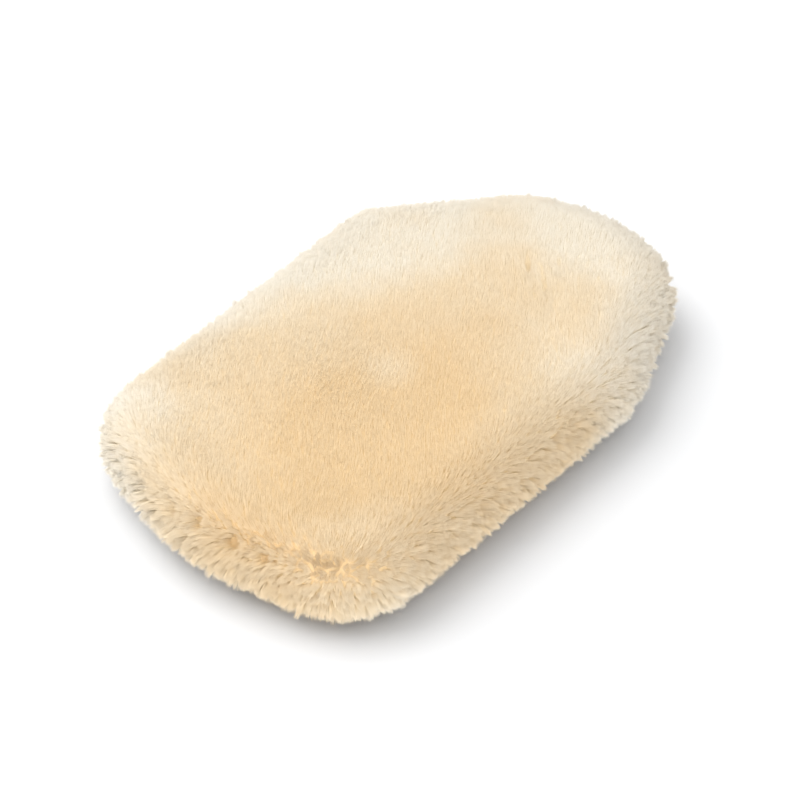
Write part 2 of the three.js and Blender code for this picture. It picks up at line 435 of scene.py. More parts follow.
@dataclass(frozen=True)
class WoolFinish:
    """Creamy wool: warm at the root and pale at the tip.

    It is warmest round its centre and paler towards the edges, in soft patches, with a paler
    spot near the centre. The paler edges are partly bleached wool and partly painted light, for the
    light that the sides catch. Root, middle, tip, yellowed_and_dent_shade, dulled and shade are
    shares of the fleece's colour. Yellowed_and_dent_shade is a yellowed tone at random in the
    undercoat and painted shade in the dents of the strands, and shade is painted shade on the
    undercoat, for the shadow under the tips. Places and reaches are in metres, and scales in
    waves per metre.
    """

    name: str
    strands: bool = True
    root: Triple = (0.88, 0.76, 0.56)
    middle: Triple = (0.95, 0.90, 0.80)
    tip: Triple = WHITE
    # a yellowed tone at random in the undercoat; on the strands it is reached only in dents, as painted shade
    yellowed_and_dent_shade: Triple = (0.92, 0.82, 0.64)
    dulled: Triple = (0.965, 0.95, 0.925)
    # shade: painted shade, darkening wool that lies under the tips of the strands
    shade: Triple = WHITE
    warm: Triple = (0.81, 0.62, 0.385)
    cream: Triple = (0.85, 0.715, 0.525)
    # the edge colour: partly bleached wool, partly painted light for the light the sides catch
    bleached_and_lit_edge: Triple = (0.89, 0.83, 0.72)
    centre: Triple = (0.026, -0.052, 0.035)
    reach: Triple = (0.105, 0.150, 0.060)
    patch_scale: float = 19.0
    patchiness: float = 0.8
    spot: Triple = (0.010, -0.021, 0.044)
    spot_reach: float = 0.017
    speckle_scale: float = 900.0
    mottle_scale: float = 400.0

    def material(self) -> bpy.types.Material:
        """Return the material. The strands' UV map holds tint across and length along; the tint also carries
        painted shade in the dents.
        """
        material, tree, shader = new_material(self.name)
        if self.strands:
            strand = tree.nodes.new("ShaderNodeUVMap")
            strand.uv_map = "strand"
            axes = node(tree, "ShaderNodeSeparateXYZ", Vector=strand.outputs["UV"])
            across, length = axes.outputs["X"], axes.outputs["Y"]
        else:
            across, length = noise(tree, self.speckle_scale, 3.0), noise(tree, self.mottle_scale)
        colour = ramp(tree, length, (0.0, *self.root), (0.5, *self.middle), (1.0, *self.tip))
        tint = ramp(tree, across, (0.0, *self.yellowed_and_dent_shade), (0.3, *self.dulled), (1.0, *WHITE))
        # tint, shade and the fleece's colour multiply the colour; shade is painted shade
        for filter_colour in (tint, self.shade, self.fleece(tree)):
            colour = mixed(tree, 1.0, colour, filter_colour, "MULTIPLY")
        feed_all(tree, shader, Base_Color=colour, Roughness=0.85, Specular_IOR_Level=0.2)
        feed_all(tree, shader, Sheen_Weight=0.1, Sheen_Roughness=0.6)
        return material

    def fleece(self, tree: bpy.types.NodeTree) -> bpy.types.NodeSocket:
        """Return the colour of the fleece in its place on the mitt: warm in the middle and paler at the
        edges, partly as painted light on the sides.
        """
        patches = noise(tree, self.patch_scale, 3.0)
        wander = reckoned(tree, "MULTIPLY_ADD", patches, self.patchiness, -self.patchiness / 2)
        warmth = reckoned(tree, "ADD", self.ball(tree, self.centre, self.reach), wander)
        place = ramp(tree, warmth, (0.0, *self.bleached_and_lit_edge), (0.3, *self.cream), (0.7, *self.warm))
        spot = self.ball(tree, self.spot, (self.spot_reach,) * 3)
        return mixed(tree, spot, place, self.cream)

    def ball(self, tree: bpy.types.NodeTree, centre: Triple, reach: Triple) -> bpy.types.NodeSocket:
        """Return a value that falls from 1 at a centre to 0 at its reach along each axis."""
        scale = tuple(1 / r for r in reach)
        shift = tuple(-c * k for c, k in zip(centre, scale))
        place = node(tree, "ShaderNodeMapping", Vector=own_place(tree), Location=shift, Scale=scale)
        ball = node(tree, "ShaderNodeTexGradient", Vector=place.outputs["Vector"])
        ball.gradient_type = "SPHERICAL"
        return ball.outputs["Fac"]


@dataclass(frozen=True)
class ClothFinish:
    """A plain cloth, hide or thread: two close colours in a fine grain, with ribs if it has them, whose
    grooves are darker as painted shade.

    Grain is in waves per metre, rib_pitch and relief in metres.
    """

    name: str
    dark: Triple
    light: Triple
    grain: float
    relief: float
    roughness: float = 0.9
    rib_pitch: float = 0.0
    rib_axis: str = "X"

    def material(self) -> bpy.types.Material:
        """Return the material."""
        material, tree, shader = new_material(self.name)
        fine, coarse = noise(tree, self.grain, 4.0), noise(tree, self.grain / 9)
        pattern = mixed(tree, 0.4, fine, coarse)
        if self.rib_pitch:
            pattern = mixed(tree, 0.5, pattern, self.ribs(tree))
        # the colour follows the ribs, darker in their grooves: painted shade
        colour = ramp(tree, pattern, (0.3, *self.dark), (0.7, *self.light))
        bump = node(tree, "ShaderNodeBump", Strength=0.6, Distance=self.relief, Height=pattern)
        feed_all(tree, shader, Base_Color=colour, Normal=bump.outputs["Normal"])
        feed_all(tree, shader, Roughness=self.roughness, Specular_IOR_Level=0.25)
        return material

    def ribs(self, tree: bpy.types.NodeTree) -> bpy.types.NodeSocket:
        """Return straight ribs across the rib axis, 0 in the grooves and 1 on top."""
        scale = math.pi / 10 / self.rib_pitch  # at scale 1 a wave of the texture is pi / 10 long
        wave = node(tree, "ShaderNodeTexWave", Vector=own_place(tree), Scale=scale)
        feed_all(tree, wave, Distortion=0.6, Detail=1.0)
        wave.bands_direction = self.rib_axis
        return wave.outputs["Fac"]


SUEDE = ClothFinish("suede", (0.60, 0.46, 0.28), (0.76, 0.63, 0.43), 1500, 0.15 * MM)
LINING_KNIT = ClothFinish(
    "lining_knit", (0.66, 0.61, 0.51), (0.84, 0.80, 0.70), 1200, 0.15 * MM, rib_pitch=0.9 * MM
)
RIB_KNIT = ClothFinish(
    "rib_knit", (0.64, 0.52, 0.33), (0.82, 0.70, 0.50), 1300, 0.2 * MM, rib_pitch=1.2 * MM, rib_axis="Y"
)
ELASTIC = ClothFinish(
    "elastic", (0.72, 0.70, 0.66), (0.90, 0.88, 0.84), 900, 0.1 * MM, rib_pitch=0.8 * MM, rib_axis="Y"
)
THREAD = ClothFinish("thread", (0.62, 0.47, 0.24), (0.82, 0.68, 0.42), 2400, 0.05 * MM, 0.7)
SATIN = ClothFinish(
    "satin", (0.84, 0.83, 0.80), (0.93, 0.92, 0.90), 1600, 0.03 * MM, 0.5, rib_pitch=0.5 * MM
)
WOOL = WoolFinish("cream_wool")
# The undercoat's shade is painted shade, for the wool in shadow under the tips.
UNDERCOAT = WoolFinish("wool_undercoat", strands=False, root=(0.88, 0.86, 0.82), shade=(0.86, 0.84, 0.80))


# ------------------------------------------------------------------ the wool


@dataclass(frozen=True)
class PileSurface:
    """The outer face of one skin's wool, as a grid of points from its rim to its middle line."""

    outline: Outline
    side: Side
    seam_z: float
    rise: float
    bend: float
    crown: float
    opening: np.ndarray
    bend_rows: int = 13
    flat_rows: int = 20
    even_rows: int = 3
    unevenness: float = 0.35 * MM

    def grid(self) -> np.ndarray:
        """Return the points, of shape (rows, n, 3)."""
        rows = []
        for k in range(self.bend_rows + 1):
            angle = math.pi / 2 * k / self.bend_rows
            flat = self.outline.ring(self.bend * (1 - math.cos(angle)))
            rows.append((flat, self.opening + (self.rise - self.opening) * math.sin(angle)))
        inner = rows[-1][0]
        low, high = inner[:, 1].min(), inner[:, 1].max()
        reach = np.abs(inner[:, 0]).max()
        spine = np.column_stack([np.zeros(len(inner)), np.clip(inner[:, 1], low + reach, high - reach)])
        for k in range(1, self.flat_rows + 1):
            share = k / self.flat_rows
            lift = self.crown * (1 - (1 - share) ** 2)
            rows.append((inner + (spine - inner) * share, np.full(len(inner), self.rise + lift)))
        sign = self.side.value
        grid = np.array([np.column_stack([flat, self.seam_z + sign * up]) for flat, up in rows])
        grid[:, :, 2] += self.ripple().at(grid) * self.swell(len(grid))
        return grid

    def ripple(self) -> Ripple:
        """Return the gentle swells of the flat part."""
        return Ripple(5, 42 * MM)

    def swell(self, rows: int) -> np.ndarray:
        """Return how high the swells are in each row, which is nothing where the pile is pressed."""
        height = self.unevenness if self.side is Side.UPPER else 0.0
        return height * np.clip((np.arange(rows) - self.even_rows) / self.bend_rows, 0, 1)[:, None]

    def normals(self, grid: np.ndarray) -> np.ndarray:
        """Return the outward unit normals of the grid, which are level at the rim."""
        rim = grid[0, :, :2]
        along = np.roll(rim, -1, axis=0) - np.roll(rim, 1, axis=0)
        outwards = unit(np.column_stack([along[:, 1], -along[:, 0], np.zeros(len(rim))]))
        up = np.array([0.0, 0.0, float(self.side.value)])
        angles = np.full(len(grid), math.pi / 2)
        angles[: self.bend_rows + 1] = np.linspace(0, math.pi / 2, self.bend_rows + 1)
        level = np.cos(angles)[:, None, None] * outwards
        tilt = self.ripple().slope(grid) * self.swell(len(grid))[:, :, None]
        tilt[:, :, 2] = 0
        return unit(level + np.sin(angles)[:, None, None] * up - tilt)


@dataclass(frozen=True)
class Scatter:
    """Points spread evenly over a pile surface, with what is needed there to grow wool."""

    at: np.ndarray
    normal: np.ndarray
    edge: np.ndarray
    opening: np.ndarray

    @staticmethod
    def over(surface: PileSurface, density: np.ndarray, seed: int) -> "Scatter":
        """Spread points over the surface.

        Args:
            surface: Where to put them.
            density: Points per square metre, one value for each row of cells.
            seed: Starts the random draws.

        Returns:
            The points, their normals, how far each is from the rim (0 there and 1 where the
            rounded edge meets the flat), and how far the rim next to it is held open.
        """
        grid = surface.grid()
        normals = surface.normals(grid)
        across = np.linalg.norm(np.diff(grid, axis=0), axis=2)
        along = np.linalg.norm(np.roll(grid, -1, axis=1) - grid, axis=2)
        area = across * (along[1:] + along[:-1]) / 2
        weight = np.cumsum((area * density[:, None]).ravel())
        total = int(weight[-1])
        draw = np.random.default_rng(seed)
        target = (np.arange(total) + draw.uniform(0, 1, total)) * weight[-1] / total
        cell = np.minimum(np.searchsorted(weight, target), weight.size - 1)
        start = np.concatenate([[0], weight])[cell]
        u = np.clip((target - start) / np.maximum(weight[cell] - start, 1e-9), 0, 1)
        golden, stray = (math.sqrt(5) - 1) / 2, 0.12
        v = (np.arange(total) * golden + draw.uniform(-stray, stray, total)) % 1.0
        row, column = np.divmod(cell, grid.shape[1])
        following = (column + 1) % grid.shape[1]

        def blend(values: np.ndarray) -> np.ndarray:
            """Return the values of the grid at the places of the points in their cells."""
            low = values[row, column] * (1 - u)[:, None] + values[row, following] * u[:, None]
            high = values[row + 1, column] * (1 - u)[:, None] + values[row + 1, following] * u[:, None]
            return low * (1 - v)[:, None] + high * v[:, None]

        edge = np.clip((row + v) / surface.bend_rows, 0, 1)
        opening = surface.opening[column] * (1 - u) + surface.opening[following] * u
        return Scatter(blend(grid), unit(blend(normals)), edge, opening)


def wool_strand(flatness: float = 0.8, tip_shift: float = 0.5) -> Solid:
    """Model the strand that all the wool is copied from: a three-sided spike, 1 long and 1 in radius.

    Args:
        flatness: Its thickness as a share of its width.
        tip_shift: How far its tip lies to one side.
    """
    deselect_all()
    bpy.ops.mesh.primitive_cone_add(vertices=3, radius1=1, radius2=0, depth=1, location=(0, 0, 0.5))
    bpy.ops.object.transform_apply(location=True)
    bpy.ops.object.mode_set(mode="EDIT")
    bpy.ops.mesh.select_all(action="SELECT")
    bpy.ops.transform.resize(value=(1, flatness, 1))
    strand = bmesh.from_edit_mesh(bpy.context.active_object.data)
    for vert in strand.verts:
        vert.select_set(vert.co.z > 0.5)
    strand.select_flush_mode()
    bpy.ops.transform.translate(value=(tip_shift, 0, 0))
    return Solid.from_active()


@dataclass(frozen=True)
class Locks:
    """Many strands: root and tip of each, its radius and tint, and the normal of the pile there.

    Softness is how far a strand is shaded as the pile round it, and not as a spike by itself.
    """

    root: np.ndarray
    tip: np.ndarray
    radius: np.ndarray
    tint: np.ndarray
    pile: np.ndarray
    softness: float = 0.94

    def part(self, chosen: np.ndarray) -> "Locks":
        """Return the strands at these indices."""
        arrays = (self.root, self.tip, self.radius, self.tint, self.pile)
        return Locks(*(values[chosen] for values in arrays), softness=self.softness)

    def mesh(self, name: str, strand: Solid, seed: int) -> bpy.types.Object:
        """Set a copy of the strand between every root and tip.

        Args:
            name: Name of the new piece.
            strand: The strand to copy.
            seed: Starts the random draws that turn each strand about itself.

        Returns:
            The new object, with a UV map of tint and length.
        """
        count = len(self.root)
        turn = np.random.default_rng(seed).uniform(0, 2 * math.pi, count)
        heading = unit(self.tip - self.root)
        other = np.where(np.abs(heading[:, 2:]) < 0.9, [[0.0, 0.0, 1.0]], [[1.0, 0.0, 0.0]])
        across = unit(np.cross(heading, other))
        third = np.cross(heading, across)
        a = across * np.cos(turn)[:, None] + third * np.sin(turn)[:, None]
        b = np.cross(heading, a)
        radius = self.radius[:, None]
        places = np.stack([a * radius, b * radius, self.tip - self.root, self.root], axis=1)
        piece = strand.copies(name, places)
        mesh = piece.data
        layer = mesh.uv_layers.new(name="strand")
        tints = np.repeat(self.tint, strand.faces.size)
        lengths = np.tile(strand.verts[strand.faces.ravel(), 2], count)
        layer.data.foreach_set("uv", np.stack([tints, lengths], axis=1).ravel())
        side = unit(np.einsum("va,nac->nvc", strand.verts[:, :2], np.stack([a, b], axis=1)))
        shading = unit(side * (1 - self.softness) + self.pile[:, None] * self.softness)
        mesh.normals_split_custom_set_from_vertices(shading.reshape(-1, 3))
        return piece


@dataclass(frozen=True)
class Dent:
    """A soft dip or crease in the wool, in metres. It is longer the one way than the other."""

    at: Triple
    along: Triple
    length: float
    width: float
    depth: float

    def across(self, points: np.ndarray) -> tuple[np.ndarray, np.ndarray]:
        """Return how deep in the dent each point is, 0 to 1, and the way out of it sideways."""
        heading = unit(np.array(self.along))
        offset = points - np.array(self.at)
        run = offset @ heading
        aside = offset - run[:, None] * heading
        distance = np.linalg.norm(aside, axis=1)
        return np.exp(-((run / self.length) ** 2) - (distance / self.width) ** 2), unit(aside)


def dent(x: float, y: float, z: float, along: Triple, length: float, width: float, depth: float) -> Dent:
    """Return a dent whose place and sizes are in millimetres."""
    return Dent((x * MM, y * MM, z * MM), along, length * MM, width * MM, depth * MM)


# Dents round the finger end, then crevices in the right side, then partings of the back.
UPRIGHT = (0.0, -0.4, 1.0)
DOWN_THE_BACK = (-0.67, 0.74, 0.0)
DENTS = (
    dent(-28, -139, 27, UPRIGHT, 4.5, 4.0, 4.5),
    dent(-6, -140, 31, UPRIGHT, 4.0, 3.0, 4.0),
    dent(8, -140, 32, UPRIGHT, 4.5, 3.5, 4.5),
    dent(27, -138, 31, UPRIGHT, 4.5, 4.0, 5.0),
    dent(42, -135, 30, UPRIGHT, 4.0, 3.0, 4.0),
    dent(87, 2, 31, (0.3, 0.3, 1.0), 5.0, 2.4, 6.5),
    dent(89, 8, 27, (0.0, 0.5, 1.0), 4.0, 2.0, 5.5),
    dent(88, -50, 27, (0.0, -0.3, 1.0), 4.0, 2.0, 5.5),
    dent(11, 73, 44, DOWN_THE_BACK, 7.0, 1.4, 2.9),
    dent(26, 66, 44, DOWN_THE_BACK, 8.0, 1.4, 2.9),
    dent(20, 84, 44, DOWN_THE_BACK, 5.0, 1.2, 2.4),
)


@dataclass(frozen=True)
class Growth:
    """How the wool of one skin grows. Lengths in metres, densities in strands per square metre.

    A value for the edge holds at the rim and eases into the one for the flat. Lock is the width of
    a lock, lift the unevenness of its tips, gather how far they close up, lean and stray how far a
    lock and a strand wander, flow and swirl how far and how unevenly the wool is brushed along
    heading, parting how far it draws back from the seam, and glow how far it is shaded as level.
    """

    surface: PileSurface
    density_flat: float
    density_edge: float
    zones: tuple[str, ...]
    seed: int
    length: float = 9 * MM
    radius_flat: float = 0.33 * MM
    radius_edge: float = 0.31 * MM
    lock_flat: float = 2.2 * MM
    lock_edge: float = 3.0 * MM
    lift_flat: float = 0.18 * MM
    lift_edge: float = 0.9 * MM
    gather_flat: float = 0.25
    gather_edge: float = 0.5
    lean: float = 0.75 * MM
    stray: float = 0.25 * MM
    glow: float = 1.2
    soft_shoulder: float = 1.5
    flow: float = 5.0 * MM
    swirl: float = 0.35
    heading: float = math.radians(115)
    parting: float = 2.0 * MM
    fringe_drop: float = 4.5 * MM
    fringe_length: float = 9.0 * MM
    floor_gap: float = 0.3 * MM
    dents: tuple[Dent, ...] = ()

    def density_rows(self, flat: float, edge: float) -> np.ndarray:
        """Return a density for each row of cells, easing from the edge value to the flat one."""
        rows = self.surface.bend_rows + self.surface.flat_rows
        share = np.clip((np.arange(rows) + 0.5) / self.surface.bend_rows - 0.2, 0, 1)
        return edge + (flat - edge) * share

    def grow(self) -> Locks:
        """Return all the strands of the skin, gathered into locks."""
        per_strand = self.density_rows(self.density_flat, self.density_edge)
        per_lock = self.density_rows(self.lock_flat**-2, self.lock_edge**-2)
        strands = Scatter.over(self.surface, per_strand, self.seed)
        centres = Scatter.over(self.surface, per_lock, self.seed + 1)
        draw = np.random.default_rng(self.seed + 2)
        lock = self.nearest(strands, centres)
        steep = (1 - strands.edge) ** self.soft_shoulder
        lift = self.lift_flat + (self.lift_edge - self.lift_flat) * steep
        lock_lift = draw.normal(0, 1, len(centres.at))
        lock_lean = draw.normal(0, self.lean, (len(centres.at), 3))
        lock_gather = draw.uniform(0.5, 1.15, len(centres.at))
        gather = self.gather_flat + (self.gather_edge - self.gather_flat) * steep
        gather *= lock_gather[lock]
        lock_tint = draw.uniform(0, 1, len(centres.at))
        out = strands.normal
        tip = strands.at + out * (lift * (lock_lift[lock] * 0.7 + draw.normal(0, 0.5, len(lock))))[:, None]
        middle = centres.at[lock] + centres.normal[lock] * (lift * lock_lift[lock])[:, None]
        towards = middle - tip
        towards -= out * np.sum(towards * out, axis=1, keepdims=True)
        tip += towards * gather[:, None]
        tip += lock_lean[lock] * (0.3 + 1.0 * steep)[:, None]
        tip += draw.normal(0, self.stray, tip.shape)
        tip += self.brushed(strands) + self.parted(strands)
        root = strands.at - out * self.length - towards * 0.15
        pressed, deep = self.dented(strands)
        tip += pressed
        root += pressed * 0.8
        hang = self.hanging(strands) * draw.uniform(0, 1, len(lock))[:, None]
        tip += hang * self.fringe_drop
        root += hang * self.fringe_drop * 0.3
        root -= out * np.linalg.norm(hang, axis=1, keepdims=True) * self.fringe_length
        tip[:, 2] = np.maximum(tip[:, 2], self.floor_gap)
        radius = self.radius_flat + (self.radius_edge - self.radius_flat) * steep
        radius *= draw.uniform(0.75, 1.25, len(lock))
        tint = 0.3 + 0.7 * (lock_tint[lock] * 0.6 + draw.uniform(0, 0.4, len(lock)))
        # painted shade: strands deep in a dent are darkened towards the dent shade colour
        tint = np.clip(tint * (1 - 0.9 * deep), 0.01, 0.99)
        glow = np.array([0.0, 0.0, self.glow]) * (1 - strands.edge)[:, None]
        return Locks(root, tip, radius, tint, unit(out + glow))

    def nearest(self, strands: Scatter, centres: Scatter) -> np.ndarray:
        """Return the lock that each strand belongs to, with wavy borders between the locks."""
        wobble = [Ripple(self.seed + 10 + k, 7 * MM).at(strands.at) for k in range(3)]
        asked = strands.at + 0.7 * MM * np.stack(wobble, axis=1)
        tree = kdtree.KDTree(len(centres.at))
        for index, point in enumerate(centres.at):
            tree.insert(point, index)
        tree.balance()
        return np.array([tree.find(point)[1] for point in asked])

    def brushed(self, strands: Scatter) -> np.ndarray:
        """Return how far each tip is brushed sideways along the skin."""
        angle = self.heading + self.swirl * Ripple(self.seed + 20, 70 * MM).at(strands.at)
        lean = np.stack([np.cos(angle), np.sin(angle), np.zeros(len(angle))], axis=1)
        lean -= strands.normal * np.sum(lean * strands.normal, axis=1, keepdims=True)
        return lean * (self.flow * np.clip(strands.edge, 0.15, 1))[:, None]

    def parted(self, strands: Scatter) -> np.ndarray:
        """Return how the tips draw back from the seam, where the wool of the two skins parts."""
        wave = Ripple(77, 16 * MM, 9).at(strands.at * np.array([1.0, 1.0, 0.0]))
        depth = self.parting * np.clip(0.3 + 0.7 * wave, 0, 1) * (1 - strands.opening)
        depth *= np.exp(-((strands.edge / 0.16) ** 2))
        up = np.array([0.0, 0.0, float(self.surface.side.value)])
        return (up * 0.5 - strands.normal) * depth[:, None]

    def dented(self, strands: Scatter) -> tuple[np.ndarray, np.ndarray]:
        """Return how the dents move the tips, and how deep in a dent each strand is, 0 to 1; the depth also
        sets the painted shade of the strands in the dent.
        """
        moved = np.zeros_like(strands.at)
        deep = np.zeros(len(strands.at))
        for one in self.dents:
            weight, aside = one.across(strands.at)
            moved += (aside * one.width * 0.6 - strands.normal * one.depth) * weight[:, None]
            deep = np.maximum(deep, weight)
        return moved, deep

    def hanging(self, strands: Scatter) -> np.ndarray:
        """Return which way the fringe over the mouth hangs, with length 1 where it is longest."""
        near = strands.opening * np.exp(-((strands.edge / 0.14) ** 2))
        return near[:, None] * np.array([0.0, 0.0, -float(self.surface.side.value)])


@dataclass(frozen=True)
class Pocket:
    """The rounded bag shape of a skin or a lining panel, from the seam up to its flat middle."""

    outline: Outline
    side: Side
    seam_z: float
    inset: float
    bend: float
    rise: float
    mouth_bend: float
    half_air: float = 0.15 * MM

    def edge(self, steps: int = 8, wall: float = 0.0) -> np.ndarray:
        """Return the rings of the rounded edge, from the seam upwards.

        Args:
            steps: How many stretches to divide the edge into.
            wall: How far the rings reach out again where the mouth is held open.
        """
        opening = self.outline.openness(self.mouth_bend)
        rings = []
        for k in range(steps + 1):
            angle = math.pi / 2 * k / steps
            inset = self.inset + self.bend * (1 - math.cos(angle))
            flat = self.outline.ring(inset)
            reach = self.outline.ring(inset - wall * math.cos(angle))
            flat = flat + (reach - flat) * opening[:, None]
            share = opening + (1 - opening) * math.sin(angle)
            up = self.half_air + (self.rise - self.half_air) * share
            rings.append(np.column_stack([flat, self.seam_z + self.side.value * up]))
        return np.array(rings)

    def rings(self, wall: float = 0.0, sag: float = 0.0, steps: int = 12) -> np.ndarray:
        """Return all the rings, from the seam to near the middle line.

        Args:
            wall: As for edge().
            sag: How far the folds of the middle reach into the pocket.
            steps: How many stretches to divide the middle into.
        """
        edge = self.edge(wall=wall)
        inner = edge[-1]
        reach = np.ptp(inner[:, 0]) / 2
        line = inner.copy()
        line[:, 0] = inner[:, 0].mean()
        line[:, 1] = np.clip(inner[:, 1], inner[:, 1].min() + reach, inner[:, 1].max() - reach)
        folds = Ripple(61, 34 * MM)
        middle = []
        for k in range(1, steps + 1):
            share = 0.86 * k / steps
            ring = inner + (line - inner) * share
            fold = 0.5 + 0.5 * folds.at(ring * np.array([1.0, 0.45, 0.0]))
            ring[:, 2] -= self.side.value * sag * np.clip(fold, 0, 1) * math.sin(math.pi * k / steps)
            middle.append(ring)
        return np.concatenate([edge, middle])

    def within(self, wall: float) -> "Pocket":
        """Return the inner face of a wall of this thickness."""
        return replace(self, inset=self.inset + wall, bend=self.bend - wall, rise=self.rise - wall)


@dataclass
class Fleece:
    """The wool of one skin: an undercoat that fills it, and strands that stand out of it.

    The undercoat lies a depth under the tips. It sinks deeper than they do at a dent, and wider.
    """

    growth: Growth
    node_name: str
    bed: Pocket
    depth_flat: float = 2.8 * MM
    depth_edge: float = 5.4 * MM
    dent_share: float = 1.3
    dent_power: float = 0.6
    pieces: list[bpy.types.Object] = field(default_factory=list)

    def build(self, strand: Solid) -> None:
        """Model the undercoat and the strands."""
        self.pieces.append(self.undercoat())
        locks = self.growth.grow()
        order = np.argsort(locks.root[:, 1], kind="stable")
        zones = self.growth.zones
        for number, (zone, chosen) in enumerate(zip(zones, np.array_split(order, len(zones)))):
            name = f"{self.node_name}_{zone}"
            self.pieces.append(locks.part(chosen).mesh(name, strand, self.growth.seed + 30 + number))

    def undercoat(self) -> bpy.types.Object:
        """Return the dense wool under the tips, with a bed for the skin inside it."""
        surface = self.growth.surface
        grid = surface.grid()
        steep = np.clip(1 - np.arange(len(grid)) / surface.bend_rows, 0, 1)
        depth = self.depth_flat + (self.depth_edge - self.depth_flat) * steep
        normals = surface.normals(grid)
        sunk = np.zeros(grid.shape[:2])
        for one in self.growth.dents:
            weight = one.across(grid.reshape(-1, 3))[0].reshape(sunk.shape)
            sunk = np.maximum(sunk, weight**self.dent_power * one.depth * self.dent_share)
        grid = grid - normals * (depth[:, None] + sunk)[:, :, None]
        sign = surface.side.value
        least = np.maximum(surface.opening, self.bed.half_air)
        grid[:, :, 2] = surface.seam_z + sign * np.maximum(sign * (grid[:, :, 2] - surface.seam_z), least)
        bed = self.bed.edge()
        underside = bed[0].copy()
        underside[:, 2] = surface.seam_z + sign * least
        nearly = underside + (bed[1] - underside) * 0.12
        lowest = np.where(surface.opening[:, None] > 0, bed[0], nearly)
        rings = np.concatenate([grid[:-1][::-1], [underside, lowest], bed[1:]])
        return loft(f"{self.node_name}_undercoat", rings, caps=True)

    def dress(self, strands: bpy.types.Material, undercoat: bpy.types.Material) -> None:
        """Give the wool its finishes."""
        bed, *zones = self.pieces
        finished(bed, undercoat, "wool", self.node_name)
        for zone in zones:
            finished(zone, strands, "wool", self.node_name)


# ------------------------------------------------------------------ skins and lining


@dataclass
class Panel:
    """One sheet of the sewn bag: a skin, or one half of the lining."""

    name: str
    node_name: str
    slot: str
    pocket: Pocket
    thick: float
    flat: tuple[float, float]
    area: float
    sag: float = 0.0
    piece: bpy.types.Object | None = None

    def build(self) -> None:
        """Model the sheet in the shape it is held in."""
        outer = self.pocket.rings(sag=self.sag)
        inner = self.pocket.within(self.thick).rings(wall=self.thick, sag=self.sag)
        self.piece = loft(self.name, np.concatenate([outer[::-1], inner]), caps=True)

    def dress(self, material: bpy.types.Material, rests_on: list[str]) -> None:
        """Give the sheet its finish."""
        finished(self.piece, material, self.slot, self.node_name)


# ------------------------------------------------------------------ the cuff


@dataclass(frozen=True)
class CuffSection:
    """The flattened round section of the cuff, in an upright plane across the mitt."""

    x: float
    z: float
    half_width: float
    rise: float

    @property
    def girth(self) -> float:
        """Return the length once round the outside."""
        return 4 * (self.half_width - self.rise) + 2 * math.pi * self.rise

    def walk(self, count: int) -> tuple[np.ndarray, np.ndarray]:
        """Return count places evenly round the section.

        Returns:
            The point on the middle line under each place, and the direction outwards from it,
            both of shape (count, 3).
        """
        straight = 2 * (self.half_width - self.rise)
        ends = np.cumsum([straight, math.pi * self.rise, straight, math.pi * self.rise])
        run = np.arange(count) * self.girth / count
        part = np.minimum(np.searchsorted(ends, run, side="right"), 3)
        along = run - np.concatenate([[0], ends])[part]
        quarter = math.pi / 2
        angle = np.choose(part, [-quarter, along / self.rise - quarter, quarter, quarter + along / self.rise])
        half = straight / 2
        x = np.choose(part, [along - half, half, half - along, -half])
        zero = np.zeros(count)
        return (
            np.column_stack([self.x + x, zero, zero + self.z]),
            np.column_stack([np.cos(angle), zero, np.sin(angle)]),
        )

    def ring(self, count: int, y: float, inset: np.ndarray | float) -> np.ndarray:
        """Return a ring at y, inset from the outside of the cuff."""
        core, out = self.walk(count)
        reach = np.broadcast_to(self.rise - inset, count)
        return core + out * reach[:, None] + np.array([0.0, y, 0.0])


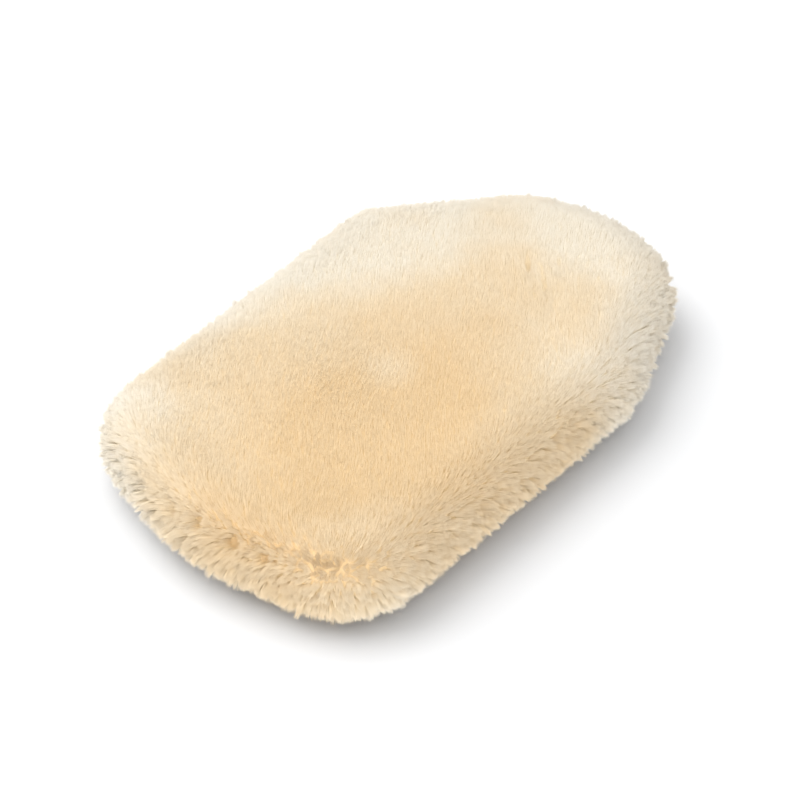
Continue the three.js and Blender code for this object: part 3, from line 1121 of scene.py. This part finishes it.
@dataclass
class Cuff:
    """The ribbed cuff, knitted double and folded at the mouth, and the elastic in its fold."""

    section: CuffSection
    start_y: float
    end_y: float
    thick: float
    elastic_y: tuple[float, float]
    knit: float = 0.9 * MM
    air: float = 0.3 * MM
    elastic_thick: float = 0.8 * MM
    ribs: int = 46
    rib_points: int = 8
    rib_depth: float = 0.22 * MM
    gathers: int = 17
    gather_depth: float = 0.45 * MM
    gather_reach: float = 7 * MM
    bulge: float = 1.6 * MM
    pieces: list[bpy.types.Object] = field(default_factory=list)

    def build(self) -> None:
        """Model the knit and the elastic."""
        self.pieces = [self.knitted(), self.elastic()]

    def knitted(self) -> bpy.types.Object:
        """Return the folded knit, with its ribs along the arm on the outside and the inside."""
        fold_y = self.end_y - self.bulge
        down = np.linspace(self.start_y, fold_y, 12)
        visible = [(y, 0.0, 1.0) for y in down]
        for a in np.linspace(0, math.pi, 8)[1:-1]:
            inset = self.thick / 2 * (1 - math.cos(a))
            visible.append((fold_y + self.bulge * math.sin(a), inset, math.cos(a)))
        visible += [(y, self.thick, -1.0) for y in down[::-1]]
        inside, turn = self.thick - self.knit, self.end_y - self.knit
        hidden = [
            (self.start_y, inside, 0.0),
            (turn, inside, 0.0),
            (turn, self.knit, 0.0),
            (self.start_y, self.knit, 0.0),
        ]
        count = self.ribs * self.rib_points
        turns = 2 * math.pi * np.arange(count) / count
        rings = []
        for y, inset, ribbed in visible + hidden:
            rib = self.rib_depth * ribbed * (1 - np.cos(self.ribs * turns)) / 2
            pull = math.exp(-(((y - self.elastic_y[1] + 4 * MM) / self.gather_reach) ** 2))
            rings.append(self.section.ring(count, y, inset + rib + pull * self.gathered(turns)))
        return loft("cuff_rib_knit", np.array(rings), closed=True)

    def gathered(self, turns: np.ndarray) -> np.ndarray:
        """Return how far in the elastic gathers the cuff at these angles round it."""
        return self.gather_depth * (1 + np.sin(self.gathers * turns)) / 2

    def elastic(self) -> bpy.types.Object:
        """Return the flat elastic band."""
        low, high = self.elastic_y
        start = self.knit + self.air
        end = start + self.elastic_thick
        nick = 0.2 * MM
        profile = [
            (low + nick, start), (high - nick, start), (high, start + nick), (high, end - nick),
            (high - nick, end), (low + nick, end), (low, end - nick), (low, start + nick),
        ]
        count = 160
        gathered = self.gathered(2 * math.pi * np.arange(count) / count)
        rings = [self.section.ring(count, y, inset + gathered) for y, inset in profile]
        return loft("cuff_elastic_band", np.array(rings), closed=True)

    def dress(self, knit: bpy.types.Material, elastic: bpy.types.Material) -> None:
        """Give the pieces their finishes."""
        rib, band = self.pieces
        finished(rib, knit, "rib_knit", "cuff_knit")
        finished(band, elastic, "elastic", "cuff_elastic")


# ------------------------------------------------------------------ sewing


def paced(path: np.ndarray, pitch: float) -> tuple[np.ndarray, np.ndarray]:
    """Return points at equal steps along a path, and the direction of the path at each."""
    lengths = np.concatenate([[0], np.cumsum(np.linalg.norm(np.diff(path, axis=0), axis=1))])
    count = round(lengths[-1] / pitch)
    asked = (np.arange(count) + 0.5) * lengths[-1] / count

    def at(run: np.ndarray) -> np.ndarray:
        """Return the points at these distances along the path."""
        return np.column_stack([np.interp(run, lengths, path[:, k]) for k in range(3)])

    return at(asked), unit(at(asked + 0.1 * pitch) - at(asked - 0.1 * pitch))


def below_mouth(ring: np.ndarray, end_y: float) -> np.ndarray:
    """Return the part of a ring below end_y, from the left of the mouth to its right."""
    below = ring[:, 1] < end_y
    first = next(i for i in range(len(ring)) if below[i] and not below[i - 1])
    rolled = np.roll(ring, -first, axis=0)
    return rolled[: int(below.sum())]


def loop_stitch() -> Solid:
    """Model an overcast stitch: a ring of thread of radius 1 in the XY plane."""
    deselect_all()
    bpy.ops.mesh.primitive_torus_add(
        major_segments=14, minor_segments=5, major_radius=1, minor_radius=0.2
    )
    bpy.ops.object.mode_set(mode="EDIT")
    bpy.ops.mesh.select_all(action="SELECT")
    bpy.ops.transform.resize(value=(1, 0.9, 1.25))
    return Solid.from_active()


def tack_stitch() -> Solid:
    """Model a straight stitch of length 1 along X and 1 thick, whose ends dip into the cloth."""
    deselect_all()
    bpy.ops.mesh.primitive_uv_sphere_add(segments=6, ring_count=8, radius=0.5)
    piece = bpy.context.active_object
    piece.rotation_euler = (0, math.pi / 2, 0)
    bpy.ops.object.transform_apply(rotation=True)
    bpy.ops.object.mode_set(mode="EDIT")
    stitch = bmesh.from_edit_mesh(piece.data)
    for vert in stitch.verts:
        vert.co.z -= 1.6 * vert.co.x**2
    bmesh.update_edit_mesh(piece.data)
    return Solid.from_active()


@dataclass(frozen=True)
class StitchRow:
    """A row of equal stitches. Size is the length, width and height of one, in metres."""

    name: str
    node_name: str
    stitch: Solid
    size: Triple
    zigzag: float = 0.0

    def sew(
        self, at: np.ndarray, along: np.ndarray, out: np.ndarray, material: bpy.types.Material
    ) -> None:
        """Sew the row.

        Args:
            at: Where the stitches are, of shape (n, 3).
            along: The direction of each.
            out: The direction away from the cloth at each.
            material: The thread.
        """
        across = np.cross(out, along)
        sway = self.zigzag * np.where(np.arange(len(at)) % 2, 1.0, -1.0)[:, None]
        heading = unit(along + across * sway)
        length, width, height = self.size
        places = [heading * length, np.cross(out, heading) * width, out * height, at]
        piece = self.stitch.copies(self.name, np.stack(places, axis=1))
        finished(piece, material, "thread", self.node_name)


@dataclass
class Sewing:
    """All the rows of stitches."""

    plan: "MittPlan"
    cuff: Cuff
    slant: float = 0.35

    def build(self, thread: bpy.types.Material) -> None:
        """Sew the seams of the skins and the lining, the cuff and the label."""
        loop, tack = loop_stitch(), tack_stitch()
        for seam, outline, inset, radius in (
            ("skin_seam", self.plan.skin_outline(), 0.9 * MM, 1.5 * MM),
            ("lining_seam", self.plan.lining_outline(), 4.3 * MM, 0.9 * MM),
        ):
            row = StitchRow(f"{seam}_stitches", f"{seam}_thread", loop, (radius,) * 3)
            self.overcast(row, outline.ring(inset), 2.2 * radius, thread)
        self.round_cuff(tack, thread)
        self.round_label(tack, thread)

    def overcast(
        self, row: StitchRow, ring: np.ndarray, pitch: float, thread: bpy.types.Material
    ) -> None:
        """Sew slanting loops along a ring, up to the mouth."""
        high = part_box(row.node_name)[1].y
        path = below_mouth(np.column_stack([ring, np.full(len(ring), self.plan.seam_z)]), high)
        at, along = paced(path, pitch)
        up = np.broadcast_to([0.0, 0.0, 1.0], at.shape)
        inwards = unit(np.cross(up, along) + self.slant * along)
        row.sew(at, inwards, np.cross(inwards, up), thread)

    def round_cuff(self, tack: Solid, thread: bpy.types.Material) -> None:
        """Sew the row that closes the elastic's channel, and the one that holds the lining."""
        section = self.cuff.section
        rows = (
            ("cuff_channel_row", "cuff_channel_stitches", -0.25, 44, (2.3, 0.5, 0.5), 0.0),
            ("cuff_lining_row", "cuff_lining_stitches", 1.35, 52, (2.6, 0.5, 0.5), 0.9),
        )
        for name, node_name, inset, count, size, zigzag in rows:
            low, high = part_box(node_name)
            at = section.ring(count, (low.y + high.y) / 2, inset * MM)
            out = section.walk(count)[1]
            facing = out if inset < 0 else -out
            along = np.cross(facing, [0.0, 1.0, 0.0])
            StitchRow(name, node_name, tack, tuple(v * MM for v in size), zigzag).sew(
                at, along, facing, thread
            )

    def round_label(self, tack: Solid, thread: bpy.types.Material) -> None:
        """Sew the label down round its edge."""
        low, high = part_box("care_label_stitches")
        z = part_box("care_label")[1].z + 0.12 * MM
        corners = [(low.x, low.y, z), (high.x, low.y, z), (high.x, high.y, z), (low.x, high.y, z)]
        path = np.array([*corners, corners[0]])
        at, along = paced(path, 1.75 * MM)
        up = np.broadcast_to([0.0, 0.0, 1.0], at.shape)
        row = StitchRow("care_label_row", "care_label_stitches", tack, (1.3 * MM, 0.4 * MM, 0.4 * MM))
        row.sew(at, along, up, thread)


@dataclass
class CareLabel:
    """The blank label sewn to the lining, a small satin sheet with soft waves."""

    thick: float = 0.3 * MM
    wave: float = 0.1 * MM
    piece: bpy.types.Object | None = None

    def build(self) -> None:
        """Model the label over its CAD node."""
        low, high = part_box("care_label")
        deselect_all()
        bpy.ops.mesh.primitive_grid_add(x_subdivisions=30, y_subdivisions=20, size=1)
        self.piece = named_active("blank_care_label")
        bpy.ops.object.mode_set(mode="EDIT")
        bpy.ops.transform.resize(value=(high.x - low.x, high.y - low.y, 1))
        bpy.ops.transform.translate(
            value=((low.x + high.x) / 2, (low.y + high.y) / 2, low.z + 0.05 * MM)
        )
        bpy.ops.object.mode_set(mode="OBJECT")
        ripple = Ripple(91, 9 * MM)
        for vert in self.piece.data.vertices:
            vert.co.z += self.wave * (1 + float(ripple.at(np.array(vert.co)))) / 2
        apply_modifier(self.piece, "SOLIDIFY", thickness=self.thick, offset=1.0)
        bpy.ops.object.shade_smooth_by_angle(angle=math.radians(40))

    def dress(self, material: bpy.types.Material) -> None:
        """Give the label its finish."""
        finished(self.piece, material, "satin", "care_label")


# ------------------------------------------------------------------ the studio


@dataclass
class Studio:
    """A white floor, soft lights and the camera."""

    azimuth: float = 41.96
    elevation: float = 41.06
    distance: float = 0.892
    lens: float = 90.0
    aim: Triple = (6.4 * MM, 0.0, 21 * MM)
    aim_right: float = -7.2 * MM
    aim_up: float = -10.2 * MM

    def build(self) -> None:
        """Set up the floor, the lights and the camera."""
        self.floor()
        self.lights()
        self.camera()

    def camera(self) -> None:
        """Add the camera and make it the scene's own."""
        az, el = math.radians(self.azimuth), math.radians(self.elevation)
        back = Vector((math.sin(az) * math.cos(el), -math.cos(az) * math.cos(el), math.sin(el)))
        right = Vector((math.cos(az), math.sin(az), 0))
        up = back.cross(right)
        target = Vector(self.aim) + right * self.aim_right + up * self.aim_up
        bpy.ops.object.camera_add(location=target + back * self.distance)
        camera = bpy.context.active_object
        camera.name = "camera"
        camera.rotation_euler = back.to_track_quat("Z", "Y").to_euler()
        camera.data.lens = self.lens
        camera.data.sensor_width = 36
        camera.data.clip_start = 0.05
        bpy.context.scene.camera = camera

    def floor(self) -> None:
        """Add the floor."""
        deselect_all()
        bpy.ops.mesh.primitive_plane_add(size=8, location=(0, 0, 0))
        floor = named_active("floor")
        material, tree, shader = new_material("white_floor")
        shade = ramp(tree, noise(tree, 3.0), (0.3, 0.905, 0.91, 0.92), (0.7, 0.92, 0.925, 0.935))
        feed_all(tree, shader, Base_Color=shade, Roughness=0.9, Specular_IOR_Level=0.1)
        floor.data.materials.append(material)

    def lights(self) -> None:
        """Add a large soft lamp on the left of the mitt, weaker ones round it, and an even sky."""
        self.lamp("key", (-1.2, -0.5, 1.8), 2.2, 32.5)
        self.lamp("top", (0.2, -0.3, 1.8), 1.4, 2)
        self.keep_off_floor(self.lamp("fill", (0.98, -0.98, 0.9), 1.3, 23.5))
        self.keep_off_floor(self.lamp("rear", (-0.1, 1.5, 0.8), 1.3, 3))
        world = bpy.data.worlds.new("sky")
        bpy.context.scene.world = world
        world.use_nodes = True
        background = world.node_tree.nodes["Background"]
        background.inputs["Color"].default_value = (1, 1, 1, 1)
        background.inputs["Strength"].default_value = 0.86
        bpy.context.scene.view_settings.view_transform = "Standard"

    def keep_off_floor(self, lamp: bpy.types.Object) -> None:
        """Keep a lamp's light off the floor, so that it does not wash the shadow out."""
        unlit = bpy.data.collections.new("not_lit_by_" + lamp.name)
        unlit.objects.link(bpy.data.objects["floor"])
        unlit.collection_objects[0].light_linking.link_state = "EXCLUDE"
        lamp.light_linking.receiver_collection = unlit

    def lamp(self, name: str, place: Triple, size: float, watts: float) -> bpy.types.Object:
        """Add a square lamp that faces the mitt."""
        bpy.ops.object.light_add(type="AREA", location=place)
        lamp = bpy.context.active_object
        lamp.name = name
        lamp.data.shape = "SQUARE"
        lamp.data.size = size
        lamp.data.energy = watts
        lamp.rotation_euler = Vector(place).to_track_quat("Z", "Y").to_euler()
        return lamp


# ------------------------------------------------------------------ the mitt


BOW = 105.0  # both ends are bowed to this radius, in millimetres


@dataclass
class MittPlan:
    """The outlines and heights that the pieces share. The heights come from the CAD frame.

    Tip and lining_end_y are in millimetres, as the corners of the outlines are, and the rest in
    metres.
    """

    tip: float
    seam_z: float
    height: float
    skin_rise: float
    lining_rise: float
    skin_bend: float = 15 * MM
    lining_bend: float = 12 * MM
    lining_inset: float = 3.6 * MM
    lining_end_y: float = 94.0
    mouth_bend: float = 9 * MM
    lining_mouth_bend: float = 14 * MM
    fringe_rise: float = 7.4 * MM
    air: float = 0.3 * MM

    @staticmethod
    def from_frame() -> "MittPlan":
        """Read the sizes off the CAD nodes."""
        low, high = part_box("upper_fleece")
        half_air, bow_gap = 0.15 * MM, 2.8  # an end's corner lies bow_gap mm beyond its bow
        seam_z = low.z - half_air
        return MittPlan(
            tip=(high.y - low.y) / 2 / MM + bow_gap,
            seam_z=seam_z,
            height=high.z,
            skin_rise=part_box("upper_skin")[1].z - seam_z,
            lining_rise=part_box("upper_lining")[1].z - seam_z,
        )

    def wool_outline(self) -> Outline:
        """Return the outline over the wool. The left shoulder is pulled out further up."""
        return Outline.of(
            (6.4, -self.tip, BOW),
            (90.9, -127, 42),
            (89.2, 54.5, 29),
            (57.8, 132, 48),
            (9.4, self.tip, BOW),
            (-39, 132, 48),
            (-92.4, 66.5, 6),
            (-77.6, -127, 42),
        )

    def skin_outline(self) -> Outline:
        """Return the outline of the skins, inside the wool."""
        return self.bag_outline((51.4, 120, 7), (9.4, 123, BOW), (-32.6, 120, 7))

    def lining_outline(self) -> Outline:
        """Return the outline that the lining is inset from. It ends short of the mouth."""
        mouth_y = self.lining_end_y + self.lining_inset / MM
        return self.bag_outline((56.7, mouth_y, 5), (5.2, mouth_y, BOW), (-46.3, mouth_y, 5))

    def bag_outline(self, *mouth: Triple) -> Outline:
        """Return the outline of the sewn bag with these three corners at its mouth."""
        fingers = ((6.4, -129, BOW), (75.4, -110, 28), (73.5, 49, 14))
        left = ((-76, 57, 5), (-62.6, -110, 28))
        return Outline.of(*fingers, *mouth, *left)

    def skin(self, side: Side) -> Pocket:
        """Return the outer face of a skin."""
        return Pocket(
            self.skin_outline(), side, self.seam_z, 0.0, self.skin_bend, self.skin_rise, self.mouth_bend
        )

    def lining(self, side: Side) -> Pocket:
        """Return the outer face of a half of the lining."""
        return Pocket(
            self.lining_outline(), side, self.seam_z, self.lining_inset, self.lining_bend,
            self.lining_rise, self.lining_mouth_bend,
        )

    def bed(self, side: Side) -> Pocket:
        """Return the hollow in the wool that a skin lies in."""
        return replace(self.skin(side), inset=-self.air, rise=self.skin_rise + self.air)

    def pile(self, side: Side, rise: float, bend: float, crown: float) -> PileSurface:
        """Return the outer face of the wool of a skin."""
        opening = self.fringe_rise * self.skin_outline().openness(self.mouth_bend)
        return PileSurface(self.wool_outline(), side, self.seam_z, rise, bend, crown, opening)

    def cuff(self) -> Cuff:
        """Return the cuff over its CAD nodes."""
        low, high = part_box("cuff_knit")
        elastic_low, elastic_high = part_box("cuff_elastic")
        section = CuffSection(
            (low.x + high.x) / 2, self.seam_z, (high.x - low.x) / 2, (high.z - low.z) / 2
        )
        return Cuff(section, low.y, high.y, 3.2 * MM, (elastic_low.y, elastic_high.y))


def fleeces(plan: MittPlan) -> list[Fleece]:
    """Return the wool of both skins, ready to build."""
    top, floor_gap = plan.height - 2 * MM, 1 * MM
    upper = plan.pile(Side.UPPER, rise=top - plan.seam_z, bend=25 * MM, crown=1.5 * MM)
    lower = plan.pile(Side.LOWER, rise=plan.seam_z - floor_gap, bend=17 * MM, crown=0.0)
    upper_zones = ("fingers", "knuckles", "back", "thumb", "palm", "heel", "wrist", "mouth")
    lower_zones = ("fingers", "palm", "wrist", "mouth")
    back = Growth(upper, 3.0e6, 7.0e6, upper_zones, seed=11, dents=DENTS)
    palm = Growth(lower, 1.0e6, 4.5e6, lower_zones, seed=41, length=7 * MM, lift_flat=0.1 * MM)
    return [
        Fleece(back, "upper_fleece", plan.bed(Side.UPPER)),
        Fleece(palm, "lower_fleece", plan.bed(Side.LOWER)),
    ]


# The width and length of a skin and of half the lining before sewing, and the area of each.
HIDE_CUT, HIDE_AREA = (0.158, 0.255), 0.0350
CLOTH_CUT, CLOTH_AREA = (0.151, 0.222), 0.0300


def panels(plan: MittPlan) -> list[Panel]:
    """Return the two skins and the two halves of the lining, ready to build."""
    made = []
    for side, name in ((Side.UPPER, "upper"), (Side.LOWER, "lower")):
        skin = plan.skin(side)
        made.append(Panel(f"{name}_hide", f"{name}_skin", "suede", skin, 1.4 * MM, HIDE_CUT, HIDE_AREA))
    for side, name, sag in ((Side.UPPER, "upper", 1.6 * MM), (Side.LOWER, "lower", 0.2 * MM)):
        bag, node_name = plan.lining(side), f"{name}_lining"
        made.append(
            Panel(f"{node_name}_panel", node_name, "lining", bag, 0.9 * MM, CLOTH_CUT, CLOTH_AREA, sag)
        )
    return made


def main() -> None:
    """Build the mitt and the studio."""
    logging.basicConfig(level=logging.INFO, format="%(message)s")
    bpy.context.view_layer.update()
    plan = MittPlan.from_frame()
    wool, undercoat, thread = WOOL.material(), UNDERCOAT.material(), THREAD.material()
    suede, lining = SUEDE.material(), LINING_KNIT.material()
    strand = wool_strand()
    for fleece in fleeces(plan):
        fleece.build(strand)
        fleece.dress(wool, undercoat)
    upper_hide, lower_hide, upper_lining, lower_lining = built = panels(plan)
    for panel in built:
        panel.build()
    upper_hide.dress(suede, ["lower_hide"])
    lower_hide.dress(suede, ["lower_fleece_undercoat"])
    upper_lining.dress(lining, ["lower_lining_panel"])
    lower_lining.dress(lining, ["lower_hide"])
    cuff = plan.cuff()
    cuff.build()
    cuff.dress(RIB_KNIT.material(), ELASTIC.material())
    Sewing(plan, cuff).build(thread)
    label = CareLabel()
    label.build()
    label.dress(SATIN.material())
    Studio().build()


if __name__ == "__main__":
    main()
